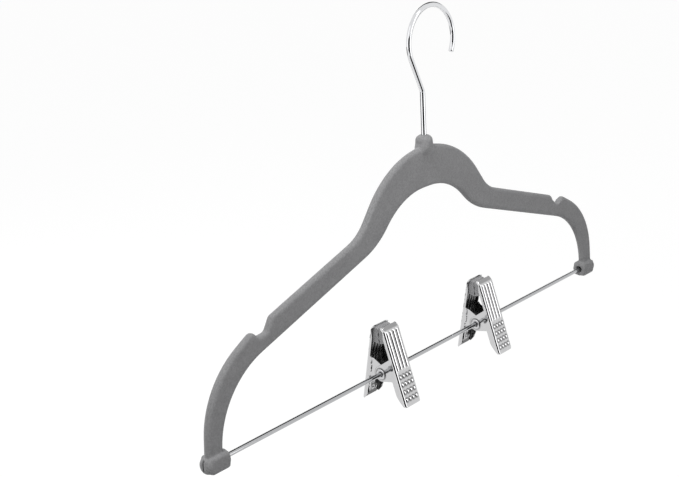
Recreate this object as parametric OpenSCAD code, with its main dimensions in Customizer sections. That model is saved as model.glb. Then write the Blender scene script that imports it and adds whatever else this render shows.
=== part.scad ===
// Skirt hanger: flocked plastic body, swivelling wire hook, crossbar and two sliding spring clips.
// Millimetres. +Z is up, X runs along the crossbar, and the front faces -Y.
// The origin is the point under the top of the hook that rests on a rail.

/* [Overall] */
// Width over the two end bosses
hanger_w = 436; // [380:1:500]
// Fall from the top of the neck to the axis of the crossbar
bar_drop = 157; // [140:1:175]

/* [Body] */
// Thickness of the body
plate_t = 5.6; // [5.2:0.1:7]
// Rounding of the body's flocked edges
edge_r = 2.2; // [1:0.1:2.4]
// Depth of the body at its middle, under the neck
crest_h = 29.8; // [24:0.1:34]
// Width of the shoulders, square to their slope
shoulder_w = 16; // [13:0.1:18]
// Width of the arms where they meet the end bosses
arm_w = 12.8; // [10:0.1:15]
// Diameter of the neck
neck_d = 12; // [10:0.1:14]
// Height of the neck above the body
neck_h = 6.7; // [5.5:0.1:9]
// Width of a strap notch
notch_w = 16.3; // [14:0.1:20]
// Depth of a strap notch
notch_depth = 8.6; // [6:0.1:9.5]

/* [End bosses] */
// Diameter of a boss
boss_d = 11.2; // [9.5:0.1:13]
// How far a boss stands out past its arm
boss_out = 2.2; // [1:0.1:8]
// How far a boss reaches in past its arm
boss_in = 3; // [2:0.1:7]

/* [Hook] */
// Diameter of the hook's wire
wire_d = 3.5; // [3:0.1:4]
// Radius of the hook's bow, to the middle of the wire
bow_r = 23.7; // [21:0.1:27]
// Height of the bow's centre above the neck
bow_z = 62.3; // [56:0.1:70]
// How far the bow's centre stands to one side of the shank
bow_x = 11; // [6:0.1:14]
// Height of the bend at the top of the shank
bend_z = 30; // [24:0.1:33]
// How far the tip reaches down past the bow's centre, in degrees
tip_angle = 25; // [0:1:35]

/* [Crossbar] */
// Diameter of the crossbar
bar_d = 3.1; // [2.5:0.1:3.4]

/* [Clips] */
// Place of the left clip along the bar, from the neck's axis
left_clip_x = -47; // [-110:1:-20]
// Place of the right clip along the bar, from the neck's axis
right_clip_x = 63; // [30:1:120]
// How far the clips lean back on the bar, in degrees
clip_lean = 4; // [-20:0.5:20]
// Width of a clip
clip_w = 16.5; // [15:0.1:19]
// Thickness of the clips' sheet steel
sheet_thick = 0.8; // [0.6:0.05:1]
// Length of a jaw above the pivot
jaw_l = 32; // [28:0.1:36]
// Length of a finger lever below the pivot
lever_l = 25.7; // [22:0.1:29]
// Distance from the pivot to the outer face of a jaw
web_depth = 14; // [13.2:0.1:15]
// Angle of each closed jaw to the middle of the clip
jaw_angle = 14.5; // [13.5:0.1:15.5]
// Radius of the ears round the pivot
ear_r = 5.6; // [4.8:0.1:6]
// Height of the soft pads
pad_h = 10.5; // [8:0.1:12]
// Wire of the clip's spring
spring_wire = 1; // [0.8:0.05:1.05]
// Whole curls of the clip's spring
spring_curls = 7; // [5:1:7]

/* [Hidden] */

// Clearances
running_gap = 0.08; // radial, between a shaft and the hole that it turns or slides in
gap = 0.3;        // between other pieces that move past each other
held = 0.04;      // radial, between the crossbar and the bosses that grip it
overrun = 1;      // by which a cut passes the face it opens
chord_error = 0.04;

// Body: where its corners lie, across the arm's span and down the fall to the crossbar
span = hanger_w / 2 - boss_out;
hump_share = [0.188, 0.087];
waist_share = [0.329, 0.341];
shoulder_end_share = [0.719, 0.516];
elbow_share = [0.982, 0.687];
hump_r_share = 0.335;
waist_r_share = 0.145;
elbow_r_share = 0.278;
inner_r_share = 0.255;
inner_hump_share = 0.654;
inner_waist_share = 0.763;
notch_share = [[0.31, 1], [0.755, 1.07], [1, 0.51]];
notch_r = 3.5;
notch_lip_r = 4;
edge_steps = 4;
neck_dome_r = 4;
neck_root = 5.5;    // straight depth of the neck, from its top
neck_fade = 7;      // length over which it fades into the body's faces
fade_steps = 8;
boss_dome_r = 3.6;
boss_rim = 0.6;
slot_w = 1;
slot_depth = 0.7;
mouth_r = 3;
mouth_depth = 2.4;
seat_depth = 12;  // by which the crossbar enters a boss, from its inner face
bar_chamfer = 0.4;

// Hook
bend_r = 6;
head_d = 5.2;
head_h = 1.6;
head_z = -5.7;    // underside of the head, from the top of the neck
tip_r_share = 0.35;
wire_lap = 0.2;    // by which a curved length runs into a straight one
lap_step = 0.01;   // by which it is thinner there

// Clip
bend_out = 1.5;   // outer radius of the sheet's bends
lip_l = 3.6;
lip_angle = 25;
flange_d = 2.8;
lever_flange_d = 5.6;
lever_flange_r = 14;
lever_flange_end_share = 0.62;
shank_top = 9.2;     // where the ear meets the flange above the pivot
shank_bottom = 6.8;  // and below it
shank_r = 2;
joggle_l = 1;
rib_count = 4;
rib_r = 1.6;
rib_h = 0.6;
rib_fade = 1.6;
rib_foot = -1;       // where the ribs end, along the jaw from the pivot
dot_rows = 4;
dot_r = 1.7;
dot_h = 0.65;
dot_margin = 4.9;    // from the lever's tip to the last row
dot_rise = 5.4;      // from row to row
pad_top = 0.5;       // by which the pad stays below the jaw's top edge
pad_seat = 0.05;     // thickness of the glue behind it
groove_count = 4;
groove_d = 0.4;
sleeve_wall = 0.75;
rim_d = 7.6;
rim_t = 0.6;
spring_gap = 0.35;   // between the coil and the sleeve
spring_pitch_gap = 0.45;
leg_rest = 13;       // how far down the lever a leg presses
leg_gap = 0.3;
rings_a_curl = 8;
wire_sides = 6;
$fn = 64;

// Places worked out from the sizes above
neck_x = -bow_x;
neck_z = -(bow_z + bow_r - wire_d / 2);
pivot_z = -bar_drop;
inner_face_x = span - arm_w - boss_in;
sleeve_bore = bar_d / 2 + running_gap;
sleeve_r = sleeve_bore + sleeve_wall;
ear_bore = sleeve_r + running_gap;
ear_out = clip_w / 2;
inner_ear_out = ear_out - sheet_thick - gap;
jaw_bend = jaw_l - lip_l * cos(lip_angle);

// Plane geometry

function unit(v) = v / norm(v);
function reversed(list) = [for (i = [len(list) - 1:-1:0]) list[i]];
function mirrored(path) = [for (p = path) [-p.x, p.y]];
function line_z(a, b, x) = a.y + (b.y - a.y) * (x - a.x) / (b.x - a.x);

// Half of the angle that a path turns through at a corner
function half_turn(before, corner, after) =
    90 - acos(max(-1, min(1, unit(before - corner) * unit(after - corner)))) / 2;

// Length that a corner's rounding takes from the lines beside it
function taken(path, radii, i) =
    i <= 0 || i >= len(path) - 1 ? 0 : radii[i] * tan(half_turn(path[i - 1], path[i], path[i + 1]));

// A corner's radius, limited by the lines beside it
function fitted(path, radii, i) =
    let (
        own = taken(path, radii, i),
        back = norm(path[i] - path[i - 1]) / max(own + taken(path, radii, i - 1), chord_error),
        on = norm(path[i + 1] - path[i]) / max(own + taken(path, radii, i + 1), chord_error)
    )
    radii[i] * min(1, back, on);

function arc(centre, r, from, sweep) =
    let (n = max(2, ceil(abs(sweep) / (2 * acos(1 - min(0.2, chord_error / r))))))
    [for (k = [0:n]) centre + r * [cos(from + sweep * k / n), sin(from + sweep * k / n)]];

function rounded_corner(before, corner, after, r) =
    let (
        u = unit(before - corner),
        v = unit(after - corner),
        half = half_turn(before, corner, after),
        centre = corner + unit(u + v) * r / cos(half),
        start = corner + u * r * tan(half) - centre,
        side = u.x * v.y - u.y * v.x > 0 ? -1 : 1
    )
    arc(centre, r, atan2(start.y, start.x), side * 2 * half);

// A path of corners with each one rounded; a radius of 0 keeps it sharp
function rounded_path(path, radii) = [
    for (i = [0:len(path) - 1])
        each (i == 0 || i == len(path) - 1 || radii[i] == 0)
            ? [path[i]]
            : rounded_corner(path[i - 1], path[i], path[i + 1], fitted(path, radii, i))
];

// Body outline, from its middle to the right foot, in the neck's frame

function placed(share) = [share.x * span, -share.y * bar_drop];
hump = placed(hump_share);
waist = placed(waist_share);
shoulder_end = placed(shoulder_end_share);
elbow = placed(elbow_share);
inner_foot_x = span - arm_w;
function inner_line_z(x) =
    line_z(waist, shoulder_end, x)
    - shoulder_w / cos(atan2(waist.y - shoulder_end.y, shoulder_end.x - waist.x));

outer_half = rounded_path(
    concat(
        [[0, -neck_h], hump, waist, shoulder_end],
        [for (s = notch_share) shoulder_end + [s.x * notch_w, -s.y * notch_depth]],
        [elbow, [span, pivot_z]]
    ),
    [0, hump_r_share * span, waist_r_share * span, notch_lip_r,
     notch_r, notch_r, notch_lip_r, elbow_r_share * span, 0]
);
inner_half = rounded_path(
    [[0, -neck_h - crest_h], [inner_hump_share * hump.x, -neck_h - crest_h],
     [inner_waist_share * waist.x, inner_line_z(inner_waist_share * waist.x)],
     [inner_foot_x, inner_line_z(inner_foot_x)], [inner_foot_x, pivot_z]],
    [0, inner_r_share * span, inner_r_share * span, inner_r_share * span, 0]
);
function whole(half) = concat(reversed([for (i = [1:len(half) - 1]) [-half[i].x, half[i].y]]), half);
outer_path = whole(outer_half);
inner_path = whole(inner_half);

// Rounded plate between two paths that run side by side from left to right

function run_length(path) = [
    for (i = 0, s = 0; i < len(path); i = i + 1, s = s + (i < len(path) ? norm(path[i] - path[i - 1]) : 0)) s
];
function share_along(path) = let (s = run_length(path)) s / s[len(s) - 1];

// Triangles of the strip between both paths, which share their numbering with the ring round them
function strip(over, under, ring_n) =
    let (
        a = share_along(over),
        b = share_along(under),
        steps = len(over) + len(under) - 2
    )
    [for (
        i = 0, j = 0, top = a[1] <= b[1];
        i + j < steps;
        i = i + (top ? 1 : 0),
        j = j + (top ? 0 : 1),
        top = j >= len(under) - 1 || (i < len(over) - 1 && a[i + 1] <= b[j + 1])
    ) top ? [i, i + 1, ring_n - 1 - j] : [i, ring_n - 2 - j, ring_n - 1 - j]];

function inward(ring, i) =
    let (
        n = len(ring),
        on = unit(ring[(i + 1) % n] - ring[i]),
        along = unit(on + unit(ring[i] - ring[(i + n - 1) % n]))
    )
    [along.y, -along.x] / (along * on);

module rounded_plate(over, under, t, r) {
    ring = concat(over, reversed(under));
    n = len(ring);
    levels = concat(
        [for (k = [0:edge_steps]) let (a = 90 - 90 * k / edge_steps) [r - r * cos(a), -t / 2 + r - r * sin(a)]],
        [for (k = [0:edge_steps]) let (a = 90 * k / edge_steps) [r - r * cos(a), t / 2 - r + r * sin(a)]]
    );
    last = len(levels) - 1;
    normals = [for (i = [0:n - 1]) inward(ring, i)];
    cap = strip(over, under, n);
    points = [
        for (level = levels) for (i = [0:n - 1])
            let (p = ring[i] + normals[i] * level[0]) [p.x, level[1], p.y]
    ];
    sides = [
        for (k = [0:last - 1]) for (i = [0:n - 1])
            let (a = k * n + i, b = k * n + (i + 1) % n) each [[a, b + n, b], [a, a + n, b + n]]
    ];
    polyhedron(
        points,
        concat(
            cap,
            [for (f = cap) [f[0] + last * n, f[2] + last * n, f[1] + last * n]],
            sides
        )
    );
}

// Hanger body

// The neck's side, from its foot up: it swells from within the plate to its full width
function neck_swell(share) =
    plate_t / 2 - chord_error + (neck_d / 2 - plate_t / 2 + chord_error) * (1 - cos(180 * share)) / 2;

module neck_form() {
    rotate_extrude()
        polygon(concat(
            [[0, -neck_root - neck_fade]],
            [for (k = [0:fade_steps])
                [neck_swell(k / fade_steps), -neck_root - neck_fade * (1 - k / fade_steps)]],
            arc([neck_d / 2 - neck_dome_r, -neck_dome_r], neck_dome_r, 0, 90),
            [[0, 0]]
        ));
}

// A boss along +X, its outer end domed, with its axis on X
module boss_form() {
    rotate([0, 90, 0])
        rotate_extrude()
            polygon(concat(
                [[0, inner_face_x], [boss_d / 2 - boss_rim, inner_face_x], [boss_d / 2, inner_face_x + boss_rim]],
                arc([boss_d / 2 - boss_dome_r, hanger_w / 2 - boss_dome_r], boss_dome_r, 0, 90),
                [[0, hanger_w / 2]]
            ));
}

// The crossbar's blind seat with its open mouth, and the moulding slot across the boss's end
module boss_cuts() {
    rotate([0, 90, 0]) {
        translate([0, 0, inner_face_x - overrun])
            cylinder(r = bar_d / 2 + held, h = seat_depth + overrun);
        translate([0, 0, inner_face_x - overrun])
            cylinder(r1 = mouth_r + overrun * (mouth_r - bar_d / 2) / mouth_depth, r2 = bar_d / 2,
                     h = mouth_depth + overrun);
    }
    translate([hanger_w / 2 - slot_depth, -slot_w / 2, -boss_d / 2])
        cube([slot_depth + overrun, slot_w, boss_d]);
}

module both_sides() {
    children();
    mirror([1, 0, 0]) children();
}

module hanger_body() {
    color("dimgray")
        translate([neck_x, 0, neck_z])
            difference() {
                union() {
                    rounded_plate(outer_path, inner_path, plate_t, edge_r);
                    neck_form();
                    translate([0, 0, pivot_z]) both_sides() boss_form();
                }
                translate([0, 0, head_z - gap])
                    cylinder(r = head_d / 2 + gap, h = head_h + 2 * gap);
                translate([0, 0, head_z])
                    cylinder(r = wire_d / 2 + running_gap, h = overrun - head_z);
                translate([0, 0, pivot_z]) both_sides() boss_cuts();
            }
}

// Hook: a shank with an upset head, a bend, a straight slant and the bow

bow_centre = [bow_x, bow_z];
bend = [0, bend_z];
to_bow = bow_centre - bend;
slant = atan2(to_bow.y, to_bow.x) + asin(bow_r / norm(to_bow));
bend_turn = slant - 90;
bend_take = bend_r * tan(bend_turn / 2);
slant_l = sqrt(to_bow * to_bow - bow_r * bow_r);

// Part of a ring of wire in the hook's plane, let in a little at each end to the piece that follows
module wire_arc(centre, r, from, sweep) {
    lap = asin(wire_lap / r);
    translate([centre.x, 0, centre.y])
        rotate([90, 0, 0])
            rotate([0, 0, from - lap])
                rotate_extrude(angle = sweep + 2 * lap)
                    translate([r, 0]) circle(r = wire_d / 2 - lap_step);
}

module swivel_hook() {
    color("silver")
        translate([neck_x, 0, neck_z]) {
            translate([0, 0, head_z]) {
                cylinder(d = head_d, h = head_h);
                cylinder(d = wire_d, h = bend_z - bend_take - head_z);
            }
            wire_arc([-bend_r, bend_z - bend_take], bend_r, 0, bend_turn);
            translate([bend.x, 0, bend.y])
                rotate([0, 90 - slant, 0])
                    translate([0, 0, bend_take])
                        cylinder(d = wire_d, h = slant_l - bend_take);
            wire_arc(bow_centre, bow_r, -tip_angle, slant + 90 + tip_angle);
            translate([bow_x, 0, bow_z])
                rotate([0, tip_angle, 0])
                    translate([bow_r, 0, 0])
                        rotate([180, 0, 0])
                            cylinder(d1 = wire_d, d2 = wire_d * (1 - tip_r_share), h = wire_d * tip_r_share);
        }
}

module crossbar() {
    reach = inner_face_x + seat_depth;
    color("gainsboro")
        translate([neck_x, 0, neck_z + pivot_z])
            rotate([0, 90, 0])
                rotate_extrude()
                    polygon([
                        [0, -reach], [bar_d / 2 - bar_chamfer, -reach], [bar_d / 2, -reach + bar_chamfer],
                        [bar_d / 2, reach - bar_chamfer], [bar_d / 2 - bar_chamfer, reach], [0, reach]
                    ]);
}

// Clips. In a jaw's own frame the pivot is at the origin, the jaw stands along Z and its face is at -Y.

module along_x(w, centred = true) {
    rotate([90, 0, 90]) linear_extrude(height = w, center = centred) children();
}

// Side view of a jaw's flanges without the ear, with the web at y = -web_depth
flange_path = concat(
    [[-web_depth, -lever_l], [-web_depth, jaw_bend], [-web_depth + sheet_thick, jaw_bend]],
    rounded_path(
        [[-web_depth + sheet_thick, jaw_bend], [-web_depth + flange_d, jaw_bend - 2 * flange_d],
         [-web_depth + flange_d, -shank_bottom], [-web_depth + lever_flange_d, -shank_bottom],
         [-web_depth + lever_flange_d, -lever_flange_end_share * lever_l], [-web_depth + sheet_thick, -lever_l]],
        [0, flange_d, 0, 0, lever_flange_r, 0]
    )
);

// Side view of an ear: a neck from the flange that narrows to a round lobe on the pivot
module ear_profile(root_y) {
    difference() {
        union() {
            circle(r = ear_r);
            polygon(rounded_path(
                [[root_y, shank_top + shank_r], [root_y + shank_r, shank_top], [0, ear_r],
                 [0, -ear_r], [root_y + shank_r, -shank_bottom], [root_y, -shank_bottom]],
                [0, shank_r, 0, 0, 0, 0]
            ));
        }
        circle(r = ear_bore);
    }
}

// The bent sheet seen from above, before its sides are cut to shape
module channel_profile() {
    inner_r = bend_out - sheet_thick;
    polygon(concat(
        rounded_path(
            [[-ear_out, ear_r], [-ear_out, -web_depth], [ear_out, -web_depth], [ear_out, ear_r]],
            [0, bend_out, bend_out, 0]
        ),
        rounded_path(
            [[ear_out - sheet_thick, ear_r], [ear_out - sheet_thick, -web_depth + sheet_thick],
             [-ear_out + sheet_thick, -web_depth + sheet_thick], [-ear_out + sheet_thick, ear_r]],
            [0, inner_r, inner_r, 0]
        )
    ));
}

module channel() {
    intersection() {
        translate([0, 0, -lever_l]) linear_extrude(height = lever_l + jaw_bend) channel_profile();
        along_x(clip_w + 2 * overrun) children();
    }
}

// The flat lip above the ribs, bent in a little
lip_in = lip_l * sin(lip_angle);
lip_up = lip_l * cos(lip_angle);
lip_path = [
    [-web_depth, jaw_bend], [-web_depth + lip_in, jaw_l],
    [-web_depth + lip_in + sheet_thick * cos(lip_angle), jaw_l - sheet_thick * sin(lip_angle)],
    [-web_depth + sheet_thick, jaw_bend - sheet_thick * tan(lip_angle / 2)], [-web_depth, jaw_bend - sheet_thick]
];

module lip() {
    along_x(clip_w - 2 * (bend_out - sheet_thick)) polygon(lip_path);
}

// A spindle on the face of the jaw, half sunk into the sheet, with faded ends
module rib(r, from, to) {
    sunk = rib_r - rib_h;
    translate([0, -web_depth + sunk, 0])
        rotate_extrude()
            polygon([
                [0, from], [r * sunk / rib_r - chord_error, from], [r, from + rib_fade],
                [r, to - rib_fade], [r * sunk / rib_r - chord_error, to], [0, to]
            ]);
}

module ribs(r) {
    pitch = (clip_w - 2 * bend_out) / rib_count;
    for (i = [0:rib_count - 1])
        translate([(i - (rib_count - 1) / 2) * pitch, 0, 0])
            rib(r, rib_foot, jaw_bend);
}

module dots(r) {
    pitch = (clip_w - 2 * bend_out) / rib_count;
    for (i = [0:rib_count - 1], k = [0:dot_rows - 1])
        let (x = (i - (rib_count - 1) / 2) * pitch, z = -lever_l + dot_margin + k * dot_rise)
            translate([x, -web_depth + dot_r - dot_h, z])
                sphere(r = r);
}

module embossed() {
    difference() {
        union() {
            children();
            intersection() {
                union() {
                    ribs(rib_r);
                    dots(dot_r);
                }
                translate([-clip_w / 2, -web_depth - overrun, -lever_l])
                    cube([clip_w, overrun + sheet_thick, lever_l + jaw_l]);
            }
        }
        ribs(rib_r - sheet_thick);
        dots(dot_r - sheet_thick + (rib_r - rib_h) / 8);
    }
}

// The front jaw's ears are the outer pair
module front_jaw() {
    embossed() {
        channel() {
            polygon(flange_path);
            ear_profile(-web_depth + sheet_thick);
        }
        lip();
    }
}

// The rear jaw's ears step in by a sheet and a gap, and lie inside the front pair
module rear_jaw() {
    joggle_y = -web_depth + flange_d + shank_r - joggle_l;
    step_in = sheet_thick + gap;
    embossed() {
        channel() {
            polygon(flange_path);
            intersection() {
                ear_profile(-web_depth + sheet_thick);
                translate([-web_depth, -lever_l]) square([joggle_y + joggle_l + web_depth, lever_l + jaw_l]);
            }
        }
        lip();
        both_sides() {
            translate([inner_ear_out - sheet_thick, 0, 0])
                along_x(sheet_thick, false)
                    intersection() {
                        ear_profile(-web_depth + sheet_thick);
                        translate([joggle_y, -lever_l]) square([-joggle_y + ear_r, lever_l + jaw_l]);
                    }
            translate([inner_ear_out - sheet_thick, 0, 0])
                along_x(sheet_thick + step_in, false)
                    intersection() {
                        ear_profile(-web_depth + sheet_thick);
                        translate([joggle_y, -lever_l]) square([joggle_l, lever_l + jaw_l]);
                    }
        }
    }
}

// A pad fills the jaw's mouth up to the middle of the clip, with fine grooves across its grip
function grip_y(z) = -(gap / 2 + z * sin(jaw_angle)) / cos(jaw_angle);

module pad() {
    top = jaw_l - pad_top - sheet_thick * sin(lip_angle);
    bottom = top - pad_h;
    back = -web_depth + sheet_thick + pad_seat;
    lip_foot = jaw_bend - sheet_thick * tan(lip_angle / 2);
    step = pad_h / (2 * groove_count + 1);
    grip = [
        for (k = [0:2 * groove_count + 1])
            let (z = bottom + k * step, in = k % 4 == 1 || k % 4 == 2 ? groove_d : 0)
            [grip_y(z) - in, z]
    ];
    along_x(clip_w - 2 * bend_out)
        polygon(concat(
            [[back, bottom], [back, lip_foot], [back + (top - lip_foot) * tan(lip_angle), top]],
            reversed(grip)
        ));
}

module sleeve() {
    end = ear_out + gap;
    rotate([0, 90, 0])
        rotate_extrude()
            polygon(concat(
                [[sleeve_bore, -end - rim_t], [rim_d / 2 - rim_t / 2, -end - rim_t], [rim_d / 2, -end - rim_t / 2],
                 [rim_d / 2, -end], [sleeve_r, -end], [sleeve_r, end]],
                [[rim_d / 2, end], [rim_d / 2, end + rim_t / 2], [rim_d / 2 - rim_t / 2, end + rim_t],
                 [sleeve_bore, end + rim_t]]
            ));
}

// Spring: one unbroken wire, from the leg on the rear lever round the sleeve to the leg on the front lever
coil_r = sleeve_r + spring_gap + spring_wire / 2;
curl_pitch = spring_wire + spring_pitch_gap;
leg_depth = web_depth - sheet_thick - leg_gap - spring_wire / 2;
leg_end = [
    leg_depth * cos(jaw_angle) + leg_rest * sin(jaw_angle),
    leg_depth * sin(jaw_angle) - leg_rest * cos(jaw_angle)
];
leg_start_angle = atan2(leg_end.y, leg_end.x) + acos(coil_r / norm(leg_end));
coil_turn = 360 * spring_curls + 180 - 2 * leg_start_angle;
coil_half = curl_pitch * coil_turn / 360 / 2;
coil_rings = ceil(coil_turn / 360 * rings_a_curl);
spring_path = concat(
    [[-coil_half, leg_end.x, leg_end.y]],
    [for (k = [0:coil_rings])
        let (a = leg_start_angle + coil_turn * k / coil_rings)
        [-coil_half + 2 * coil_half * k / coil_rings, coil_r * cos(a), coil_r * sin(a)]],
    [[coil_half, -leg_end.x, leg_end.y]]
);

function tangent(path, i) = unit(path[min(i + 1, len(path) - 1)] - path[max(i - 1, 0)]);

function wire_ring(path, i, r, sides) =
    let (t = tangent(path, i), u = unit(cross([1, 0, 0], t)), v = cross(t, u))
    [for (k = [0:sides - 1]) let (a = 360 * k / sides) path[i] + r * (cos(a) * u + sin(a) * v)];

module tube(path, r, sides) {
    n = len(path);
    points = [for (i = [0:n - 1]) each wire_ring(path, i, r, sides)];
    polyhedron(
        points,
        concat(
            [for (k = [1:sides - 2]) [0, k, k + 1]],
            [for (k = [1:sides - 2]) [(n - 1) * sides, (n - 1) * sides + k + 1, (n - 1) * sides + k]],
            [for (i = [0:n - 2], k = [0:sides - 1])
                let (a = i * sides + k, b = i * sides + (k + 1) % sides)
                each [[a, a + sides, b], [b, a + sides, b + sides]]]
        )
    );
}

// Least gap between parts of the wire that are half a curl or more apart along it
coil_points = [for (i = [1:len(spring_path) - 2]) spring_path[i]];
least_gap = min([
    for (i = [0:len(coil_points) - 1], j = [i + rings_a_curl / 2:len(coil_points) - 1])
        norm(coil_points[i] - coil_points[j]) - spring_wire
]);
echo(spring_least_gap_to_itself = least_gap);

module spring() {
    tube(spring_path, spring_wire / 2, wire_sides);
}

// Each clip stands on the bar at its own place, leaning back a little
module on_bar(x) {
    translate([neck_x + x, 0, neck_z + pivot_z])
        rotate([-clip_lean, 0, 0])
            children();
}

module to_front() {
    rotate([-jaw_angle, 0, 0]) children();
}

module to_rear() {
    rotate([0, 0, 180]) to_front() children();
}

module clip_sleeve(x) { color("silver") on_bar(x) sleeve(); }
module clip_spring(x) { color("lightgray") on_bar(x) spring(); }
module clip_front_jaw(x) { color("gainsboro") on_bar(x) to_front() front_jaw(); }
module clip_rear_jaw(x) { color("gainsboro") on_bar(x) to_rear() rear_jaw(); }
module clip_front_pad(x) { color("darkgray") on_bar(x) to_front() pad(); }
module clip_rear_pad(x) { color("darkgray") on_bar(x) to_rear() pad(); }

hanger_body();
swivel_hook();
crossbar();
clip_sleeve(left_clip_x);  // left_clip_sleeve
clip_spring(left_clip_x);  // left_clip_spring
clip_front_jaw(left_clip_x);  // left_clip_front_jaw
clip_rear_jaw(left_clip_x);  // left_clip_rear_jaw
clip_front_pad(left_clip_x);  // left_clip_front_pad
clip_rear_pad(left_clip_x);  // left_clip_rear_pad
clip_sleeve(right_clip_x);  // right_clip_sleeve
clip_spring(right_clip_x);  // right_clip_spring
clip_front_jaw(right_clip_x);  // right_clip_front_jaw
clip_rear_jaw(right_clip_x);  // right_clip_rear_jaw
clip_front_pad(right_clip_x);  // right_clip_front_pad
clip_rear_pad(right_clip_x);  // right_clip_rear_pad
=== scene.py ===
# Skirt hanger: flocked body, swivelling wire hook, crossbar and two sliding spring clips.
import bpy
import math
from mathutils import Matrix, Vector


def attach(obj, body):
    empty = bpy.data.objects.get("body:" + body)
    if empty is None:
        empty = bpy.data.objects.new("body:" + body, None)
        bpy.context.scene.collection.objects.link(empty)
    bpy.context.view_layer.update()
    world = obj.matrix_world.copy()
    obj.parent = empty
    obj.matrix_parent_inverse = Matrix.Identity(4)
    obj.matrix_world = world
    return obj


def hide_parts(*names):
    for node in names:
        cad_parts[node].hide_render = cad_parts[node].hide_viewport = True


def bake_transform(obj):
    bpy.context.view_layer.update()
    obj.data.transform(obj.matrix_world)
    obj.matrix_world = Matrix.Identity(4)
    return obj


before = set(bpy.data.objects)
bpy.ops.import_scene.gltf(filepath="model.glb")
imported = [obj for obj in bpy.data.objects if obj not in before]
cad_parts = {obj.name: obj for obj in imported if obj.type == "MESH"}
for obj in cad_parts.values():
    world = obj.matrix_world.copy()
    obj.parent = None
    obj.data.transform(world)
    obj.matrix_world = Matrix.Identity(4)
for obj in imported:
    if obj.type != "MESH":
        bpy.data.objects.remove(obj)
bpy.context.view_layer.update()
mm = 0.001
print("frame loaded:", len(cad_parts), "nodes")


# Small helpers

def deselectAll():
    if bpy.context.mode != "OBJECT":
        bpy.ops.object.mode_set(mode="OBJECT")
    bpy.ops.object.select_all(action="DESELECT")


def activate(obj):
    deselectAll()
    obj.select_set(True)
    bpy.context.view_layer.objects.active = obj


def settle(obj):
    # the place goes into the mesh and the object goes to the origin
    activate(obj)
    bpy.ops.object.transform_apply(location=True, rotation=True, scale=True)


def addModifier(obj, kind, **settings):
    activate(obj)
    modifier = obj.modifiers.new(kind.title(), kind)
    for key, value in settings.items():
        setattr(modifier, key, value)
    bpy.ops.object.modifier_apply(modifier=modifier.name)


def joinAll(parts, name):
    activate(parts[0])
    for part in parts[1:]:
        part.select_set(True)
    bpy.ops.object.join()
    parts[0].name = name
    return parts[0]


def cleanNormals(obj, gap=0.001):
    # points closer together than the gap, in millimetres, become one
    activate(obj)
    bpy.ops.object.mode_set(mode="EDIT")
    bpy.ops.mesh.select_all(action="SELECT")
    bpy.ops.mesh.remove_doubles(threshold=gap * mm)
    bpy.ops.mesh.normals_make_consistent(inside=False)
    bpy.ops.object.mode_set(mode="OBJECT")


def smoothBy(obj, angle):
    activate(obj)
    bpy.ops.object.shade_smooth_by_angle(angle=math.radians(angle))


def cutWith(obj, cutter):
    addModifier(obj, "BOOLEAN", operation="DIFFERENCE", object=cutter, solver="EXACT")
    bpy.data.objects.remove(cutter, do_unlink=True)


def cylinderAlong(axis, radius, start, end, centre=(0, 0, 0), sides=48, farRadius=None):
    # from start to end along an axis through centre
    turn = {"X": (0, math.pi / 2, 0), "Z": (0, 0, 0)}[axis]
    along = {"X": Vector((1, 0, 0)), "Z": Vector((0, 0, 1))}[axis]
    deselectAll()
    bpy.ops.mesh.primitive_cone_add(
        vertices=sides, radius1=radius, radius2=radius if farRadius is None else farRadius,
        depth=end - start, location=Vector(centre) + along * (start + end) / 2, rotation=turn)
    made = bpy.context.object
    settle(made)
    return made


def boxAt(middle, size, edge, segments):
    # a box whose edges are rounded
    deselectAll()
    bpy.ops.mesh.primitive_cube_add(size=1, location=middle)
    made = bpy.context.object
    made.scale = size
    settle(made)
    addModifier(made, "BEVEL", width=edge, segments=segments)
    return made


def turned(name, profile, steps):
    # a profile of (along X, radius) points, spun about the X axis
    mesh = bpy.data.meshes.new(name)
    mesh.from_pydata([(x, 0, r) for x, r in profile], [(i, i + 1) for i in range(len(profile) - 1)], [])
    made = bpy.data.objects.new(name, mesh)
    bpy.context.collection.objects.link(made)
    activate(made)
    bpy.ops.object.mode_set(mode="EDIT")
    bpy.ops.mesh.select_all(action="SELECT")
    bpy.ops.mesh.spin(steps=steps, angle=math.tau, center=(0, 0, 0), axis=(1, 0, 0))
    bpy.ops.object.mode_set(mode="OBJECT")
    cleanNormals(made)
    return made


def wireAlong(name, points, radii, resolution):
    # a round wire through the points, whose radius follows the list
    curve = bpy.data.curves.new(name, "CURVE")
    curve.dimensions = "3D"
    curve.bevel_depth = max(radii)
    curve.bevel_resolution = resolution
    curve.use_fill_caps = True
    line = curve.splines.new("POLY")
    line.points.add(len(points) - 1)
    for spot, place, radius in zip(line.points, points, radii):
        spot.co = (*place, 1)
        spot.radius = radius / max(radii)
    made = bpy.data.objects.new(name, curve)
    bpy.context.collection.objects.link(made)
    activate(made)
    bpy.ops.object.convert(target="MESH")
    made = bpy.context.object
    made.name = name
    cleanNormals(made)
    return made


def ease(t):
    t = min(1.0, max(0.0, t))
    return t * t * (3 - 2 * t)


# Materials

class Signal:
    def __init__(self, paint, socket):
        self.paint = paint
        self.socket = socket

    def __add__(self, other):
        return self.paint.maths("ADD", self, other)

    def __mul__(self, other):
        return self.paint.maths("MULTIPLY", self, other)

    __radd__ = __add__
    __rmul__ = __mul__


def fillRamp(elements, stops):
    while len(elements) > 1:
        elements.remove(elements[0])
    elements[0].position, elements[0].color = stops[0]
    for place, colour in stops[1:]:
        elements.new(place).color = colour


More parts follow.
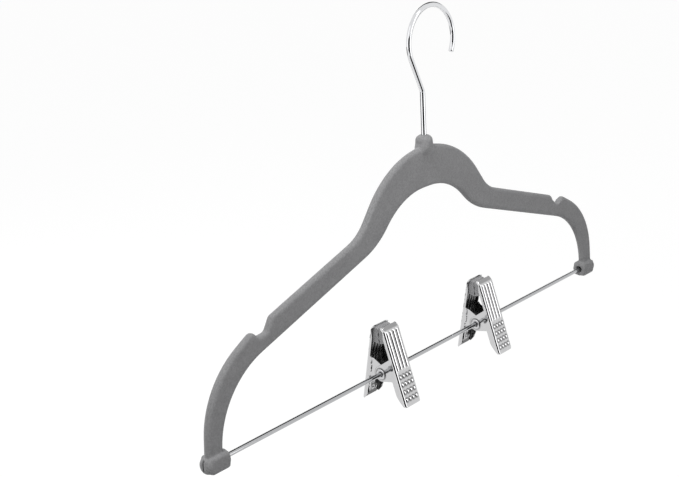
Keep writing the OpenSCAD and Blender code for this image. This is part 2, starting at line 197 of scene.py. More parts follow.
class Paint:
    def __init__(self, name):
        self.material = bpy.data.materials.new(name)
        self.material.use_nodes = True
        self.tree = self.material.node_tree
        self.shader = self.tree.nodes["Principled BSDF"]

    def node(self, kind, settings=None, inputs=None, output=0):
        made = self.tree.nodes.new("ShaderNode" + kind)
        for key, value in (settings or {}).items():
            if key == "stops":
                fillRamp(made.color_ramp.elements, value)
            else:
                setattr(made, key, value)
        for key, value in (inputs or {}).items():
            self.feed(made.inputs[key], value)
        return Signal(self, made.outputs[output])

    def feed(self, socket, value):
        if isinstance(value, Signal):
            self.tree.links.new(value.socket, socket)
        else:
            socket.default_value = value

    def maths(self, operation, first, second):
        return self.node("Math", {"operation": operation}, {0: first, 1: second})

    def place(self):
        return self.node("TexCoord", output="Object")

    def noise(self, scale, detail, roughness, place=None):
        return self.node("TexNoise", None, {
            "Vector": place or self.place(), "Scale": scale, "Detail": detail, "Roughness": roughness})

    def spread(self, value, low, high, toLow=0.0, toHigh=1.0):
        return self.node("MapRange", None, {0: value, 1: low, 2: high, 3: toLow, 4: toHigh})

    def blend(self, amount, first, second):
        return self.node("Mix", {"data_type": "RGBA"}, {0: amount, 6: first, 7: second}, output=2)

    def darker(self, colour, share):
        if isinstance(colour, Signal):
            return self.node("HueSaturation", None, {"Value": share, "Color": colour})
        return tuple(c * share for c in colour[:3]) + (1,)

    def finish(self, inputs, bump=None, bumpHeight=0.0, bumpStrength=1.0):
        for key, value in inputs.items():
            self.feed(self.shader.inputs[key], value)
        if bump is not None:
            normal = self.node("Bump", None, {
                "Height": bump, "Distance": bumpHeight, "Strength": bumpStrength})
            self.feed(self.shader.inputs["Normal"], normal)
        return self.material


flockLook = {
    "pile": (0.205, 0.205, 0.208, 1),      # colour of the fibres
    "shaded": (0.135, 0.135, 0.138, 1),    # between tufts
    "tipped": (0.25, 0.25, 0.253, 1),      # where fibre tips catch the light
    # scale, detail and roughness of each noise
    "fibres": (3200, 3, 0.7), "tufts": (900, 2, 0.6), "clouds": (70, 3, 0.55),
    "fibreShare": 0.6, "shadeRange": (0.36, 0.64), "tipRange": (0.35, 0.7), "tipShare": 0.35,
    "roughness": 0.92, "specular": 0.15,
    "sheen": 0.22, "sheenRoughness": 0.45, "sheenTint": (0.9, 0.9, 0.92, 1),
    "fibreHeight": 0.00018, "fibreBump": 0.7, "tuftBump": 0.5, "bump": 0.8,
}


def flockMaterial(look=flockLook):
    paint = Paint("flock")
    fibres = paint.noise(*look["fibres"])
    tufts = paint.noise(*look["tufts"])
    clouds = paint.noise(*look["clouds"])
    mixed = fibres * look["fibreShare"] + tufts * (1 - look["fibreShare"])
    shade = paint.spread(mixed, *look["shadeRange"])
    colour = paint.blend(shade, look["shaded"], look["pile"])
    tips = paint.spread(clouds, *look["tipRange"], 0.0, look["tipShare"])
    colour = paint.blend(tips * shade, colour, look["tipped"])
    return paint.finish(
        {"Base Color": colour, "Roughness": look["roughness"], "Specular IOR Level": look["specular"],
         "Sheen Weight": look["sheen"], "Sheen Roughness": look["sheenRoughness"],
         "Sheen Tint": look["sheenTint"]},
        bump=fibres * look["fibreBump"] + tufts * look["tuftBump"],
        bumpHeight=look["fibreHeight"], bumpStrength=look["bump"])


def greys(*stops):
    # a ramp's stops from places and levels of grey
    return [(place, (level, level, level * 1.01, 1)) for place, level in stops]


smears = {
    # on every metal: detail and roughness of fine marks, and scale, detail and roughness of broad ones
    "fine": (4, 0.6), "broad": (55, 2, 0.5), "fineShare": 0.6, "range": (0.3, 0.7),
    "shade": 0.82, "shadeShare": 0.5,
}
hookLook = {"colour": (0.74, 0.745, 0.76, 1), "roughness": 0.04, "smear": 0.06, "scale": 300}
barLook = {
    "colour": (0.47, 0.475, 0.485, 1), "roughness": 0.06, "smear": 0.07, "scale": 900,
    "stretch": (0.1, 1, 1),                # the marks run along the bar
}
sheetLook = {
    "roughness": 0.05, "smear": 0.08, "scale": 260,
    # painted light and shade: greys from a painted dark groove to a painted highlight on a crest
    "toneStops": greys((0, 0.08), (0.3, 0.36), (0.5, 0.60), (0.75, 0.78), (1, 0.98)),
    "dents": (170, 1, 0.4), "dentDepth": 0.00045,      # soft dents that pressing leaves, and their depth
}
# painted shade: the inner skin is painted dark, with painted light lines at each rib's foot and painted dark
# grooves behind its crest
innerLook = {
    "roughness": 0.16, "smear": 0.16, "scale": 1400, "stretch": (1, 1, 0.12),
    "toneStops": greys((0, 0.62), (0.5, 0.14), (1, 0.04)),
}
rivetLook = {"colour": (0.62, 0.62, 0.63, 1), "roughness": 0.2, "smear": 0.15, "scale": 700}
springLook = {"colour": (0.5, 0.5, 0.51, 1), "roughness": 0.22, "smear": 0.12, "scale": 900}


def metalMaterial(name, look):
    # polished or plated metal, with faint smears in its gloss
    paint = Paint(name)
    place = paint.node("Mapping", None, {
        "Vector": paint.place(), "Scale": look.get("stretch", (1, 1, 1))})
    marks = paint.noise(look["scale"], *smears["fine"], place)
    broad = paint.noise(*smears["broad"])
    mixed = marks * smears["fineShare"] + broad * (1 - smears["fineShare"])
    gloss = paint.spread(mixed, *smears["range"], look["roughness"], look["roughness"] + look["smear"])
    # the grey follows the painted light and shade: a painted dark groove at 0, a painted highlight on a
    # crest at 1
    if "toneStops" in look:                # the sheet's own attribute: 0 in a groove, 1 on a crest
        paintedLight = paint.node("Attribute", {"attribute_name": "tone"}, output="Fac")
        colour = paint.node("ValToRGB", {"stops": look["toneStops"]}, {"Fac": paintedLight})
    else:
        colour = look["colour"]
    shaded = paint.blend(marks * smears["shadeShare"], colour, paint.darker(colour, smears["shade"]))
    settings = {"Base Color": shaded, "Metallic": 1.0, "Roughness": gloss}
    if "dents" in look:
        dents = paint.noise(*look["dents"])
        return paint.finish(settings, bump=dents, bumpHeight=look["dentDepth"])
    return paint.finish(settings)


rubberLook = {
    # clouds and grain have a scale, detail and roughness each
    "dark": (0.19, 0.19, 0.195, 1), "light": (0.27, 0.27, 0.275, 1), "clouds": (160, 3, 0.5),
    "grain": (2600, 3, 0.6), "grainHeight": 0.00008, "bump": 0.6,
    "roughness": 0.6, "grainRoughness": 0.2, "specular": 0.3,
}


def rubberMaterial(look=rubberLook):
    paint = Paint("pad rubber")
    grain = paint.noise(*look["grain"])
    clouds = paint.noise(*look["clouds"])
    colour = paint.blend(clouds, look["dark"], look["light"])
    return paint.finish(
        {"Base Color": colour, "Roughness": grain * look["grainRoughness"] + look["roughness"],
         "Specular IOR Level": look["specular"]},
        bump=grain, bumpHeight=look["grainHeight"], bumpStrength=look["bump"])


flock = flockMaterial()
hookChrome = metalMaterial("hook chrome", hookLook)
barChrome = metalMaterial("bar chrome", barLook)
sheetChrome = metalMaterial("clip plating", sheetLook)
innerPlatingPaintedDark = metalMaterial("inner plating painted dark", innerLook)
rivetSteel = metalMaterial("rivet steel", rivetLook)
springSteel = metalMaterial("spring wire", springLook)
padRubber = rubberMaterial()
print("materials made")


def dress(obj, material, slot, body, *nodes):
    if material:
        obj.data.materials.clear()
        obj.data.materials.append(material)
    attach(obj, body)
    if nodes:
        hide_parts(*nodes)


# Places, given in millimetres and worked out in metres

hanger = {
    "neck": Vector((-11, 0, -84.25)),      # from the rail seat to the top of the neck
    "barDrop": 157,                        # from the top of the neck down to the bar
    "halfWidth": 218, "bossInner": 200,    # from the middle to a boss's outer and inner end
}


def atNeck(x, y, z):
    # a place that is given from the top of the neck
    return (hanger["neck"] + Vector((x, y, z))) * mm


neckTop = hanger["neck"] * mm
barCentre = Vector((neckTop.x, 0, (hanger["neck"].z - hanger["barDrop"]) * mm))


# Flocked body

bodyShape = {
    "grain": 0.6,                          # size of the new skin's faces
    "smoothing": 5, "softness": 0.5,       # passes that soften it, and the strength of each
    "mergeGap": 0.01, "smoothAngle": 50,
    "boreRadius": 1.9, "boreSpan": (-6, 3), "boreSides": 40,
    "pocketRadius": 3.2, "pocketSpan": (-6.6, -0.3),
    "mouthRadius": 3.0, "mouthDepth": 2.4, "mouthFlare": 0.3, "mouthRun": 0.4,
    "seatRadius": 1.6, "seatDepth": 12.4, "seatRun": 3, "plugSpan": (0.15, 16), "plugWall": 0.6,
    "slotWidth": 1.2, "slotDepth": 1.3, "slotHeight": 14, "slotRound": 0.25, "slotSteps": 3,
    "blockHalf": 5.5, "blockEnd": 215.6, "blockRound": 2.0, "blockSteps": 4,
    "skirtRadius": 5.95, "skirtRings": 12, "skirtTop": -4.4, "skirtFoot": -16.5,
    "skirtWide": 14.5, "skirtPower": 1.5, "skirtThick": 2.6,
    "skirtThinsFrom": 0.25,                # share of the skirt's height that keeps the neck's thickness
}


def neckSkirt(shape):
    # flares from the round neck into the thin plate
    radius, rings = shape["skirtRadius"], shape["skirtRings"]
    foot, top, thinsFrom = shape["skirtFoot"], shape["skirtTop"], shape["skirtThinsFrom"]
    thinsOver = 1 - thinsFrom
    skirt = cylinderAlong("Z", radius * mm, foot * mm, top * mm)
    activate(skirt)
    bpy.ops.object.mode_set(mode="EDIT")
    bpy.ops.mesh.select_all(action="SELECT")
    for ring in range(1, rings):
        bpy.ops.mesh.bisect(plane_co=(0, 0, (foot + (top - foot) * ring / rings) * mm), plane_no=(0, 0, 1))
        bpy.ops.mesh.select_all(action="SELECT")
    bpy.ops.object.mode_set(mode="OBJECT")
    for vertex in skirt.data.vertices:
        down = (top - vertex.co.z / mm) / (top - foot)
        thinned = ease(down / thinsOver - thinsFrom / thinsOver)
        vertex.co.x *= 1 + (shape["skirtWide"] / radius - 1) * max(0.0, down) ** shape["skirtPower"]
        vertex.co.y *= 1 + (shape["skirtThick"] / radius - 1) * thinned
    skirt.location = neckTop
    settle(skirt)
    return skirt


def bossPlugs(side, shape):
    # a plug fills the old mouth, and a block squares the boss off up to its round end
    near, far = shape["plugSpan"]
    ends = sorted((side * (hanger["bossInner"] + near) * mm, side * (hanger["bossInner"] + far) * mm))
    plug = cylinderAlong("X", (shape["mouthRadius"] + shape["plugWall"]) * mm, ends[0], ends[1], barCentre)
    middle = barCentre + Vector((side * (hanger["bossInner"] + shape["blockEnd"]) / 2 * mm, 0, 0))
    wide = 2 * shape["blockHalf"] * mm
    size = ((shape["blockEnd"] - hanger["bossInner"]) * mm, wide, wide)
    return [plug, boxAt(middle, size, shape["blockRound"] * mm, shape["blockSteps"])]


def cutBoss(body, side, shape):
    # the bar's seat, its flared mouth, and the slit in the boss's outer end
    sides = shape["boreSides"]
    inner = side * hanger["bossInner"] * mm
    seat = side * (hanger["bossInner"] + shape["seatDepth"]) * mm
    start, end = sorted((inner - side * shape["seatRun"] * mm, seat))
    cutWith(body, cylinderAlong("X", shape["seatRadius"] * mm, start, end, barCentre, sides))
    lip, deep = inner - side * shape["mouthRun"] * mm, inner + side * shape["mouthDepth"] * mm
    wide, narrow = (shape["mouthRadius"] + shape["mouthFlare"]) * mm, shape["seatRadius"] * mm
    if side > 0:
        mouth = cylinderAlong("X", wide, lip, deep, barCentre, sides, narrow)
    else:
        mouth = cylinderAlong("X", narrow, deep, lip, barCentre, sides, wide)
    cutWith(body, mouth)
    outer = barCentre + Vector((side * hanger["halfWidth"] * mm, 0, 0))
    size = (2 * shape["slotDepth"] * mm, shape["slotWidth"] * mm, shape["slotHeight"] * mm)
    cutWith(body, boxAt(outer, size, shape["slotRound"] * mm, shape["slotSteps"]))


def makeBody(shape=bodyShape):
    deselectAll()
    source = bpy.data.objects["hanger_body"]
    body = source.copy()
    body.data = source.data.copy()
    body.name = "flockedBody"
    bpy.context.collection.objects.link(body)
    cleanNormals(body, shape["mergeGap"])
    foot, top = shape["pocketSpan"]
    pocketPlug = cylinderAlong("Z", shape["pocketRadius"] * mm, foot * mm, top * mm, neckTop)
    plugs = [pocketPlug, neckSkirt(shape)]
    for side in (-1, 1):
        plugs += bossPlugs(side, shape)
    body = joinAll([body] + plugs, "flockedBody")
    addModifier(body, "REMESH", mode="VOXEL", voxel_size=shape["grain"] * mm)
    addModifier(body, "SMOOTH", factor=shape["softness"], iterations=shape["smoothing"])
    foot, top = shape["boreSpan"]
    hole = cylinderAlong("Z", shape["boreRadius"] * mm, foot * mm, top * mm, neckTop, shape["boreSides"])
    cutWith(body, hole)
    for side in (-1, 1):
        cutBoss(body, side, shape)
    smoothBy(body, shape["smoothAngle"])
    return body


body = makeBody()
dress(body, flock, "flocked_plastic", "hanger", "hanger_body")
print("body made:", len(body.data.polygons), "faces")


# Hook and crossbar

hookShape = {
    "wire": 3.5, "head": 5.2, "headHeight": 1.6, "headLevel": -5.7, "headStep": 0.02, "shankFrom": 8,
    "bendLevel": 30, "bendRadius": 6, "bendSteps": 14,
    "bowRadius": 23.7, "bow": (11, 62.3), "bowSteps": 96, "tipAngle": 25,
    "capSteps": 7, "capDegrees": 12, "capShare": 0.6,      # the wire's rounded end
    "roundness": 10, "smoothAngle": 60,
}


def arcPoints(centre, radius, start, end, count):
    steps = [start + (end - start) * i / count for i in range(count + 1)]
    return [(centre[0] + radius * math.cos(a), centre[1] + radius * math.sin(a)) for a in steps]


def makeHook(shape=hookShape):
    wire, bendRadius, bowRadius = shape["wire"] / 2, shape["bendRadius"], shape["bowRadius"]
    toBow = Vector((shape["bow"][0], shape["bow"][1] - shape["bendLevel"]))
    slant = math.atan2(toBow.y, toBow.x) + math.asin(bowRadius / toBow.length)
    turn = slant - math.pi / 2
    take = bendRadius * math.tan(turn / 2)
    headTop = shape["headLevel"] + shape["headHeight"]
    path = [(0, shape["headLevel"]), (0, headTop), (0, headTop + shape["headStep"]), (0, shape["shankFrom"])]
    radii = [shape["head"] / 2, shape["head"] / 2, wire, wire]
    bendCentre = (-bendRadius, shape["bendLevel"] - take)
    path += arcPoints(bendCentre, bendRadius, 0, turn, shape["bendSteps"])
    bowStart, bowEnd = slant + math.pi / 2, -math.radians(shape["tipAngle"])
    path += arcPoints(shape["bow"], bowRadius, bowStart, bowEnd, shape["bowSteps"])
    radii += [wire] * (len(path) - len(radii))
    end, before = Vector(path[-1]), Vector(path[-2])
    onward = (end - before).normalized()
    for k in range(1, shape["capSteps"] + 1):
        a = math.radians(shape["capDegrees"] * k)
        path.append(tuple(end + onward * wire * shape["capShare"] * math.sin(a)))
        radii.append(wire * math.cos(a))
    places = [atNeck(x, 0, z) for x, z in path]
    made = wireAlong("hookWire", places, [r * mm for r in radii], shape["roundness"])
    smoothBy(made, shape["smoothAngle"])
    return made


hook = makeHook()
dress(hook, hookChrome, "hook_wire", "hook", "swivel_hook")

barShape = {"radius": 1.55, "reach": 212, "chamfer": 0.4, "sides": 48, "smoothAngle": 40}


def makeBar(shape=barShape):
    radius, reach, chamfer = shape["radius"], shape["reach"], shape["chamfer"]
    made = turned("crossbarWire", [
        (-reach * mm, 0), (-reach * mm, (radius - chamfer) * mm), ((chamfer - reach) * mm, radius * mm),
        ((reach - chamfer) * mm, radius * mm), (reach * mm, (radius - chamfer) * mm), (reach * mm, 0)],
        shape["sides"])
    made.location = barCentre
    settle(made)
    smoothBy(made, shape["smoothAngle"])
    return made


bar = makeBar()
dress(bar, barChrome, "bar_wire", "hanger", "crossbar")
print("hook and bar made")


# Clips

clipShape = {
    "places": {"left": -47, "right": 63}, "lean": 4,
    "width": 16.5, "sheet": 0.8, "bend": 1.5, "web": 14, "jaw": 32, "lever": 25.7, "angle": 14.5,
    "lip": 3.6, "lipAngle": 25, "cornerLength": 1.2, "cornerShare": 0.09,
    "flange": 2.8, "leverFlange": 5.6, "leverEndShare": 0.62, "leverRun": 1.2, "leverPower": 1.5,
    "ear": 5.6, "earTop": 9.2, "earBottom": 6.8, "step": 1.1, "stepAt": -10.2, "stepLength": 1.3,
    "ribs": 4, "ribRadius": 1.6, "ribHeight": 0.6, "ribFoot": -1, "ribFade": 1.6,
    "dotRadius": 1.7, "dotHeight": 0.65, "dotMargin": 4.9, "dotRise": 5.4, "dotRows": 4,
    # painted light and shade on the plating, from 0 for a painted dark groove to 1 for a painted highlight
    # on a crest
    # painted highlight: the bend is lighter; painted shade: the lip is darker
    "flatTone": 0.5, "edgeTone": 0.12, "bendMore": 0.35, "lipLess": 0.22,
    # painted shade: a dark line round the foot of each rib and dot
    "ribFootShade": (0.72, 0.75), "dotFootShade": (1.0, 0.95),     # strength and width of the dark foot round each
    # painted shade: a dark ring on the sheet just outside the rivet's rim
    "ringLess": 0.42, "ringRadius": 4.2, "ringWidth": 0.6,     # the dark ring round the rivet
    # how finely the sheet is meshed
    "rowStep": 0.34, "earRows": (0.02, 0.1, 0.22, 0.4, 0.65, 0.95),
    "webColumns": 48, "bendColumns": 6, "flangeColumns": 26, "mergeGap": 0.002, "jawSmooth": 38,
    # the rivet
    "bore": 1.63, "sleeve": 2.38, "boreGap": 0.1, "cutReach": 20, "gap": 0.3, "rivetSides": 64,
    "rim": 3.8, "rimThick": 0.6, "rimRound": 0.05, "rollFoot": 0.12, "rollSteps": 14,
    "lipIn": 0.25, "mouthSpan": (0.1, 0.4), "rivetSmooth": 35,
    # the spring
    "springWire": 1.0, "springGap": 0.35, "curls": 7, "pitch": 1.45, "legRest": 13, "legGap": 0.3,
    "curlSteps": 26, "legSteps": 6, "springRoundness": 4, "springSmooth": 60,
}


def lipStart(shape):
    # how high up the jaw its lip bends in
    return shape["jaw"] - shape["lip"] * math.cos(math.radians(shape["lipAngle"]))


def flangeDepth(s, shape):
    # how deep the sheet's side is at height s along the jaw, ear included
    web, ear, flange, bend = shape["web"], shape["ear"], shape["flange"], shape["bend"]
    fadeStart = lipStart(shape) - 2 * flange
    depth = flange
    if s > fadeStart:
        depth = flange - (flange - bend) * ease((s - fadeStart) / (2 * flange))
    if s < -shape["earBottom"] + shape["leverRun"]:
        full = shape["leverEndShare"] * shape["lever"]
        fall = max(0.0, (-s - full) / (shape["lever"] - full))
        depth = shape["leverFlange"] - (shape["leverFlange"] - bend) * fall ** shape["leverPower"]
    if abs(s) < ear:
        depth = web + math.sqrt(ear * ear - s * s)
    elif ear <= s < shape["earTop"]:
        depth = max(depth, web - (web - flange) * (s - ear) / (shape["earTop"] - ear))
    elif -shape["earBottom"] < s <= -ear:
        depth = max(depth, web - (web - flange) * (-s - ear) / (shape["earBottom"] - ear))
    return depth


def dome(away, radius, rise, amount, footShade):
    # height of a pressed rib or dot at some way from its middle, and its painted light: a painted highlight
    # up the dome and a painted dark line round its foot
    strength, width = footShade
    foot = math.sqrt(radius ** 2 - (radius - rise) ** 2)
    lift = max(0.0, math.sqrt(max(0.0, radius ** 2 - away ** 2)) - (radius - rise)) * amount
    groove = max(0.0, 1 - abs(away - foot) / width) * amount * strength
    return lift, 0.5 * lift / rise - 0.5 * groove


def embossing(x, s, shape):
    # height of the ribs and dots above the sheet, and the painted light and shade there
    pitch = (shape["width"] - 2 * shape["bend"]) / shape["ribs"]
    centre = (round(x / pitch - 0.5) + 0.5) * pitch
    height, tone = 0.0, shape["flatTone"]
    if abs(centre) < pitch * shape["ribs"] / 2:
        fade = ease(min(s - shape["ribFoot"], lipStart(shape) - s) / shape["ribFade"])
        away = abs(x - centre)
        height, change = dome(away, shape["ribRadius"], shape["ribHeight"], fade, shape["ribFootShade"])
        tone += change
        rise = shape["dotRise"]
        row = round((s + shape["lever"] - shape["dotMargin"]) / rise)
        if 0 <= row < shape["dotRows"]:
            away = math.hypot(x - centre, s - (-shape["lever"] + shape["dotMargin"] + row * rise))
            bump, change = dome(away, shape["dotRadius"], shape["dotHeight"], 1, shape["dotFootShade"])
            height = max(height, bump)
            tone += change
    return height, min(1.0, max(0.0, tone))


def jawRows(shape):
    # heights of the mesh's rows, closer together near the ears' round ends
    count = int((shape["jaw"] + shape["lever"]) / shape["rowStep"])
    rows = {round(-shape["lever"] + i * shape["rowStep"], 3) for i in range(count)}
    rows |= {side * (shape["ear"] - k) for side in (-1, 1) for k in shape["earRows"]}
    rows |= {-shape["lever"], shape["jaw"], lipStart(shape), shape["earTop"], -shape["earBottom"]}
    return sorted(rows)


def jawSide(s, stepped, shape):
    # one row's points and tones, from the flange's edge round the bend to the web
    half, bend, web = shape["width"] / 2, shape["bend"], shape["web"]
    flangeColumns, bendColumns = shape["flangeColumns"], shape["bendColumns"]
    deep = 0.0 if s > lipStart(shape) else max(0.0, flangeDepth(s, shape) - bend)
    column, tones = [], []
    for k in range(flangeColumns, 0, -1):
        y = -web + bend + deep * k / flangeColumns
        inward = shape["step"] * ease((y - shape["stepAt"]) / shape["stepLength"]) if stepped else 0.0
        column.append((half - inward, y))
        # painted shade: a dark ring on the sheet round the rivet's rim
        ring = max(0.0, 1 - abs(math.hypot(y, s) - shape["ringRadius"]) / shape["ringWidth"])
        ringTone = shape["flatTone"] - shape["ringLess"] * ring
        tones.append(shape["edgeTone"] if k == flangeColumns else ringTone)
    for k in range(bendColumns + 1):
        a = math.pi / 2 * k / bendColumns
        column.append((half - bend + bend * math.cos(a), -web + bend - bend * math.sin(a)))
        # painted highlight along the bend
        tones.append(shape["flatTone"] + shape["bendMore"] * math.sin(2 * a))
    return column, tones


def jawSkin(name, stepped, shape):
    # the outer skin of a jaw: rows up the jaw, columns from one flange's edge round the web to the other
    half, bend, web, bendTop = shape["width"] / 2, shape["bend"], shape["web"], lipStart(shape)
    webColumns, cornerLength = shape["webColumns"], shape["cornerLength"]
    flat = (half - bend) * 2
    middle = [(half - bend - flat * k / webColumns, -web) for k in range(1, webColumns)]
    rows = jawRows(shape)
    points, tones = [], []
    for s in rows:
        fade = min(1.0, (shape["jaw"] - s) / cornerLength, (s + shape["lever"]) / cornerLength)
        corner = 1.0 - math.sqrt(max(0.0, 1 - (1 - fade) ** 2)) if fade < 1 else 0.0
        narrow = 1 - shape["cornerShare"] * corner         # rounded corners at both ends
        lipIn = max(0.0, s - bendTop) * math.tan(math.radians(shape["lipAngle"]))
        # painted shade: the lip is darker
        lipLess = shape["lipLess"] * ease((s - bendTop) / shape["sheet"])
        column, sideTones = jawSide(s, stepped, shape)
        mirrored = [(-x, y) for x, y in reversed(column)]
        rowTones = sideTones + [None] * len(middle) + sideTones[::-1]
        for (x, y), sideTone in zip(column + middle + mirrored, rowTones):
            lift, tone = embossing(x, s, shape) if sideTone is None else (0.0, sideTone)
            tones.append(max(0.0, tone - lipLess))
            points.append((x * narrow * mm, (y - lift + lipIn) * mm, s * mm))
    wide = len(points) // len(rows)
    starts = [r * wide + c for r in range(len(rows) - 1) for c in range(wide - 1)]
    mesh = bpy.data.meshes.new(name)
    mesh.from_pydata(points, [], [(a, a + wide, a + wide + 1, a + 1) for a in starts])
    mesh.attributes.new("tone", "FLOAT", "POINT").data.foreach_set("value", tones)
    made = bpy.data.objects.new(name, mesh)
    bpy.context.collection.objects.link(made)
    return made


def makeJaw(name, stepped, shape=clipShape):
    made = jawSkin(name, stepped, shape)
    made.data.materials.append(sheetChrome)
    made.data.materials.append(innerPlatingPaintedDark)               # the solidify modifier gives it to the inner skin
    cleanNormals(made, shape["mergeGap"])
    webMiddle = Vector((0, -shape["web"] * mm, 0))
    nearest = min(made.data.polygons, key=lambda f: (f.center - webMiddle).length)
    if nearest.normal.y > 0:               # the skin's outside faces away from the pivot
        made.data.flip_normals()
    addModifier(made, "SOLIDIFY", thickness=shape["sheet"] * mm, offset=-1,
                material_offset=1, material_offset_rim=0)
    hole, reach = (shape["sleeve"] + shape["boreGap"]) * mm, shape["cutReach"] * mm
    cutWith(made, cylinderAlong("X", hole, -reach, reach))
    smoothBy(made, shape["jawSmooth"])
    return made


def makeSleeve(shape=clipShape):
    # a hollow rivet whose ends are rolled over
    end = shape["width"] / 2 + shape["gap"]
    rim, bore, rollFoot, rollSteps = shape["rim"], shape["bore"], shape["rollFoot"], shape["rollSteps"]
    roll = (rim - bore - shape["lipIn"]) / 2
    right = [(end, shape["sleeve"]), (end, rim - shape["rimRound"])]
    for k in range(rollSteps + 1):
        a = math.pi * k / rollSteps
        out = end + rollFoot + (shape["rimThick"] - rollFoot) * math.sin(a)
        right.append((out, rim - roll + roll * math.cos(a)))
    mouthStart, mouthEnd = shape["mouthSpan"]
    right += [(end - mouthStart, bore + shape["rimRound"]), (end - mouthEnd, bore)]
    left = [(-x, r) for x, r in reversed(right)]
    loop = right + left + [right[0]]
    made = turned("sleevePattern", [(x * mm, r * mm) for x, r in loop], shape["rivetSides"])
    smoothBy(made, shape["rivetSmooth"])
    return made


def springPath(shape=clipShape):
    # a leg on each lever and the curls between them, with the coil's reach to each side
    coil = shape["sleeve"] + shape["springGap"] + shape["springWire"] / 2
    angle = math.radians(shape["angle"])
    deep = shape["web"] - shape["sheet"] - shape["legGap"] - shape["springWire"] / 2
    leg = (deep * math.cos(angle) + shape["legRest"] * math.sin(angle),
           deep * math.sin(angle) - shape["legRest"] * math.cos(angle))
    first = math.atan2(leg[1], leg[0]) + math.acos(coil / math.hypot(*leg))
    turn = math.tau * shape["curls"] + math.pi - 2 * first
    reach = shape["pitch"] * turn / math.tau / 2
    legSteps = shape["legSteps"]
    count = shape["curls"] * shape["curlSteps"]
    coilPoints = [(-reach + 2 * reach * k / count, coil * math.cos(first + turn * k / count),
                   coil * math.sin(first + turn * k / count)) for k in range(count + 1)]
    start, end = (-reach, leg[0], leg[1]), (reach, -leg[0], leg[1])
    head = [tuple(Vector(start).lerp(Vector(coilPoints[0]), k / legSteps)) for k in range(legSteps)]
    tail = [tuple(Vector(coilPoints[-1]).lerp(Vector(end), (k + 1) / legSteps)) for k in range(legSteps)]
    return head + coilPoints + tail, reach


def makeSpring(path, shape=clipShape):
    radii = [shape["springWire"] / 2 * mm] * len(path)
    places = [tuple(Vector(p) * mm) for p in path]
    made = wireAlong("springPattern", places, radii, shape["springRoundness"])
    made.data.materials.append(springSteel)
    smoothBy(made, shape["springSmooth"])
    return made


def clipPlace(side, shape=clipShape):
    middle = Matrix.Translation(atNeck(shape["places"][side], 0, -hanger["barDrop"]))
    return middle @ Matrix.Rotation(-math.radians(shape["lean"]), 4, "X")


def jawTurn(front, shape=clipShape):
    turn = Matrix.Rotation(-math.radians(shape["angle"]), 4, "X")
    return turn if front else Matrix.Rotation(math.pi, 4, "Z") @ turn


def placed(pattern, name, matrix):
    made = pattern.copy()
    made.data = pattern.data.copy()
    made.name = name
    bpy.context.collection.objects.link(made)
    made.matrix_world = matrix
    settle(made)
    return made


frontPattern = makeJaw("frontJawPattern", False)
rearPattern = makeJaw("rearJawPattern", True)
sleevePattern = makeSleeve()
springPoints, springReach = springPath()
springPattern = makeSpring(springPoints)

for side in ("left", "right"):
    place = clipPlace(side)
    front = placed(frontPattern, side + "FrontJaw", place @ jawTurn(True))
    dress(front, None, "clip_sheet", side + "_front_jaw", side + "_clip_front_jaw")
    rear = placed(rearPattern, side + "RearJaw", place @ jawTurn(False))
    dress(rear, None, "clip_sheet", side + "_rear_jaw", side + "_clip_rear_jaw")
    sleeve = placed(sleevePattern, side + "Sleeve", place)
    dress(sleeve, rivetSteel, "rivet", side + "_sleeve", side + "_clip_sleeve")
    spring = placed(springPattern, side + "Spring", place)
    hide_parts(side + "_clip_spring")
    centre = place.translation
    tuple(centre - Vector((springReach * mm, 0, 0)))
    tuple(centre + Vector((springReach * mm, 0, 0)))
    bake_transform(spring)
    for jaw in ("front", "rear"):
        for padSlot in bpy.data.objects[side + "_clip_" + jaw + "_pad"].material_slots:
            padSlot.material = padRubber
    print(side, "clip made")

for pattern in (frontPattern, rearPattern, sleevePattern, springPattern):
    bpy.data.objects.remove(pattern, do_unlink=True)


# Floor, light and camera

stageSet = {
    "floorLevel": -0.62, "floorSize": 40, "floorGrey": (0.9, 0.9, 0.9, 1), "floorRoughness": 0.9,
    "floorGlow": 1.04, "glowShare": 0.92,      # the rest of what the camera sees is the lit floor
    "lamps": [
        # name, place, size, power, shows in the chrome
        ("keyLamp", (-0.95, -0.12, 1.35), 0.6, 31, False),
        ("nearLamp", (-0.05, -0.4, 0.2), 0.3, 1.9, False),
        ("backLamp", (-0.4, 1.4, 0.3), 1.0, 15, False),
        ("sparkLamp", (0.2, -0.9, 1.1), 0.2, 2.5, True),
    ],
    "aim": (-0.01, 0, -0.16),
    "worldLight": 0.2,
    "cardsAway": 1.2,
    "cards": [
        # cards round the stage, seen only in the chrome: bearing, width in degrees, foot, head, brightness
        (-130, 74, -0.6, 0.22, 0.01), (30, 76, 0.36, 1.8, 0.01), (30, 76, -0.61, -0.3, 0.01),
        (108, 40, -0.6, -0.25, 0.01), (-74, 24, -0.4, 0.9, 2.4), (172, 30, -0.4, 1.2, 1.6),
    ],
    # a dark card that lies in front: middle, width, depth, level and brightness
    "lowCard": ((-0.3, -0.62), 0.8, 0.75, -0.56, 0.01),
}


def addCard(name, width, height, middle, turn, brightness):
    deselectAll()
    bpy.ops.mesh.primitive_plane_add(size=1)
    card = bpy.context.object
    card.name = name
    card.scale = (width, height, 1)
    card.rotation_euler = turn
    card.location = middle
    settle(card)
    card.data.materials.append(Paint(name).finish({
        "Base Color": (0, 0, 0, 1), "Roughness": 1.0, "Specular IOR Level": 0.0,
        "Emission Color": (1, 1, 1, 1), "Emission Strength": brightness}))
    card.visible_camera = False
    card.visible_diffuse = False
    card.visible_shadow = False


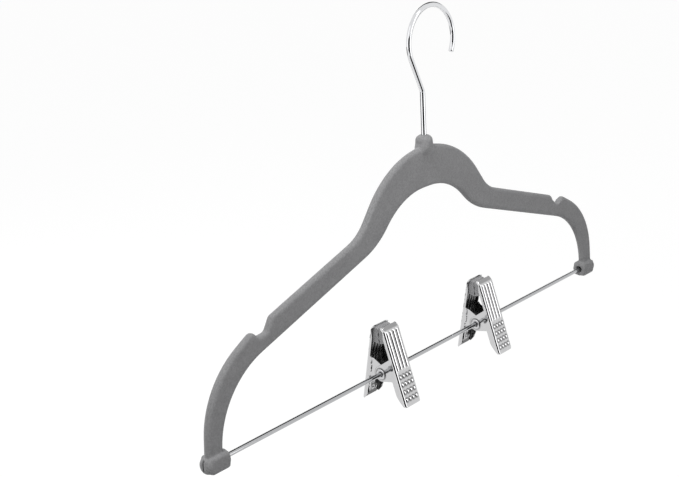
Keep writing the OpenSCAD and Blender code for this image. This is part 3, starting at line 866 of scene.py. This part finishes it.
def makeCards(stage):
    away = stage["cardsAway"]
    for bearing, width, foot, head, brightness in stage["cards"]:
        a = math.radians(bearing)
        across = 2 * away * math.tan(math.radians(width / 2))
        middle = (away * math.cos(a), away * math.sin(a), (head + foot) / 2)
        turn = (math.pi / 2, 0, math.radians(bearing + 90))
        addCard("card%dAt%d" % (bearing, 100 * foot), across, head - foot, middle, turn, brightness)
    (x, y), width, depth, level, brightness = stage["lowCard"]
    addCard("lowCard", width, depth, (x, y, level), (0, 0, 0), brightness)


def makeFloor(stage):
    # the camera and the chrome see a white glow, which still keeps the object's shadow for the camera
    deselectAll()
    bpy.ops.mesh.primitive_plane_add(size=stage["floorSize"], location=(0, 0, stage["floorLevel"]))
    floor = bpy.context.object
    floor.name = "floor"
    settle(floor)
    paint = Paint("floor white")
    floor.data.materials.append(paint.finish({
        "Base Color": stage["floorGrey"], "Roughness": stage["floorRoughness"]}))
    seen = paint.node("LightPath", output="Is Camera Ray")
    glossy = paint.node("LightPath", output="Is Glossy Ray")
    glow = paint.node("Emission", None, {"Color": (1, 1, 1, 1), "Strength": stage["floorGlow"]})
    mask = paint.maths("MAXIMUM", seen * stage["glowShare"], glossy)
    lit = Signal(paint, paint.shader.outputs[0])
    mixed = paint.node("MixShader", None, {0: mask, 1: lit, 2: glow})
    paint.tree.links.new(mixed.socket, paint.tree.nodes["Material Output"].inputs["Surface"])


def makeWorld(stage):
    # white for the camera, the chrome and whatever is seen through, and a dimmer light on the object
    world = bpy.data.worlds.new("studio")
    bpy.context.scene.world = world
    world.use_nodes = True
    tree = world.node_tree
    path = tree.nodes.new("ShaderNodeLightPath")
    seen = path.outputs["Is Camera Ray"]
    for ray in ("Is Transmission Ray", "Is Glossy Ray"):
        either = tree.nodes.new("ShaderNodeMath")
        either.operation = "MAXIMUM"
        tree.links.new(seen, either.inputs[0])
        tree.links.new(path.outputs[ray], either.inputs[1])
        seen = either.outputs[0]
    strength = tree.nodes.new("ShaderNodeMapRange")
    strength.inputs["To Min"].default_value = stage["worldLight"]
    strength.inputs["To Max"].default_value = 1.0
    tree.links.new(seen, strength.inputs["Value"])
    tree.nodes["Background"].inputs["Color"].default_value = (1, 1, 1, 1)
    tree.links.new(strength.outputs[0], tree.nodes["Background"].inputs["Strength"])


def makeLamps(stage):
    for name, place, size, power, shows in stage["lamps"]:
        light = bpy.data.lights.new(name, "AREA")
        light.size = size
        light.energy = power
        lamp = bpy.data.objects.new(name, light)
        lamp.visible_glossy = shows
        lamp.visible_camera = False
        bpy.context.collection.objects.link(lamp)
        lamp.location = place
        aim = Vector(stage["aim"]) - Vector(place)
        lamp.rotation_euler = aim.to_track_quat("-Z", "Y").to_euler()


photoView = {
    # degrees, metres from the top of the neck, and millimetres of lens and sensor
    "turn": -46.77, "rise": 18.01, "roll": -3.22, "away": 0.80624,
    "aside": -0.05719, "up": -0.07050, "lens": 63.01, "sensor": 36,
}


def makeCamera(view=photoView):
    a, e, roll = (math.radians(view[k]) for k in ("turn", "rise", "roll"))
    ahead = Vector((-math.sin(a) * math.cos(e), math.cos(a) * math.cos(e), -math.sin(e)))
    level = Vector((math.cos(a), math.sin(a), 0))
    upright = level.cross(ahead)
    right = math.cos(roll) * level + math.sin(roll) * upright
    top = -math.sin(roll) * level + math.cos(roll) * upright
    place = neckTop - ahead * view["away"] + right * view["aside"] + top * view["up"]
    data = bpy.data.cameras.new("photoCamera")
    data.lens = view["lens"]
    data.sensor_width = view["sensor"]
    camera = bpy.data.objects.new("photoCamera", data)
    bpy.context.collection.objects.link(camera)
    camera.matrix_world = Matrix((
        (right.x, top.x, -ahead.x, place.x),
        (right.y, top.y, -ahead.y, place.y),
        (right.z, top.z, -ahead.z, place.z),
        (0, 0, 0, 1)))
    bpy.context.scene.camera = camera


makeFloor(stageSet)
makeWorld(stageSet)
makeCards(stageSet)
makeLamps(stageSet)
makeCamera()
bpy.context.scene.view_settings.view_transform = "Standard"
print("stage, lamps and camera set")
